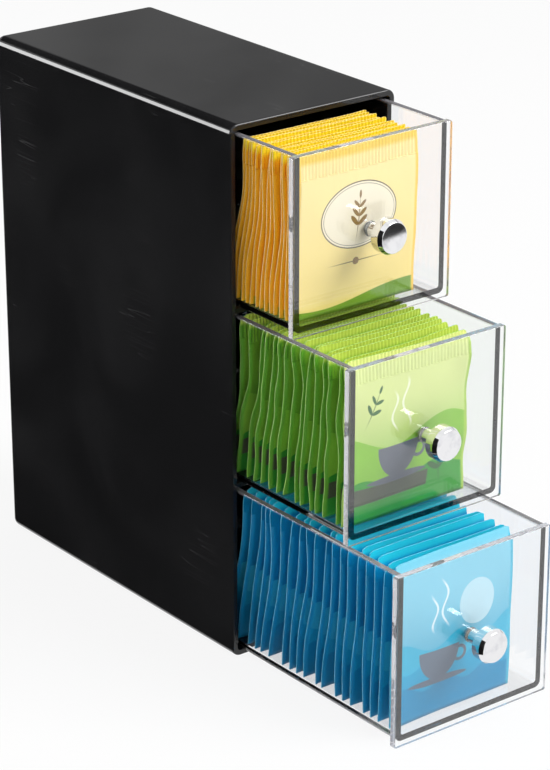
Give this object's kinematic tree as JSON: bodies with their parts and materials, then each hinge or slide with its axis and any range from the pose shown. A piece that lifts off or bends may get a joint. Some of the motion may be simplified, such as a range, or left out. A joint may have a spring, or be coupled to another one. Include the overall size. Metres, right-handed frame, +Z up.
{
  "type": "tea bag drawer box",
  "caption": "Narrow tabletop box: an open-fronted black housing with clear pull-out drawers, each with a chrome knob, holding tea sachets on edge.",
  "frame": {"origin": "centre of the housing's base, on the surface that it stands on", "axes": "+Z up, -Y out of the open front, the way the drawers slide out, +X to the right of someone facing the drawers"},
  "size_m": [0.092, 0.31, 0.254],
  "materials": {
    "housing_black": "gloss",
    "clear_plastic": "gloss",
    "knob_chrome": "polished",
    "screw_steel": "satin",
    "washer_nylon": "satin",
    "sachet_paper_bottom": "satin",
    "sachet_paper_middle": "satin",
    "sachet_paper_top": "satin"
  },
  "bodies": {
    "housing": {"housing_shell": "housing_black", "shelf_lower": "housing_black", "shelf_upper": "housing_black"},
    "drawer_bottom": {"tray_bottom": "clear_plastic", "front_panel_bottom": "clear_plastic", "knob_bottom": "knob_chrome", "knob_screw_bottom": "screw_steel", "knob_washer_bottom": "washer_nylon", "tea_sachets_bottom": "sachet_paper_bottom"},
    "drawer_middle": {"tray_middle": "clear_plastic", "front_panel_middle": "clear_plastic", "knob_middle": "knob_chrome", "knob_screw_middle": "screw_steel", "knob_washer_middle": "washer_nylon", "tea_sachets_middle": "sachet_paper_middle"},
    "drawer_top": {"tray_top": "clear_plastic", "front_panel_top": "clear_plastic", "knob_top": "knob_chrome", "knob_screw_top": "screw_steel", "knob_washer_top": "washer_nylon", "tea_sachets_top": "sachet_paper_top"}
  },
  "joints": [
    {"name": "drawer_bottom_slide", "type": "slide", "parent": "housing", "child": "drawer_bottom", "axis": [0, -1, 0], "range_m": [-0.109, 0.044]},
    {"name": "drawer_middle_slide", "type": "slide", "parent": "housing", "child": "drawer_middle", "axis": [0, -1, 0], "range_m": [-0.076, 0.077]},
    {"name": "drawer_top_slide", "type": "slide", "parent": "housing", "child": "drawer_top", "axis": [0, -1, 0], "range_m": [-0.038, 0.115]}
  ]
}
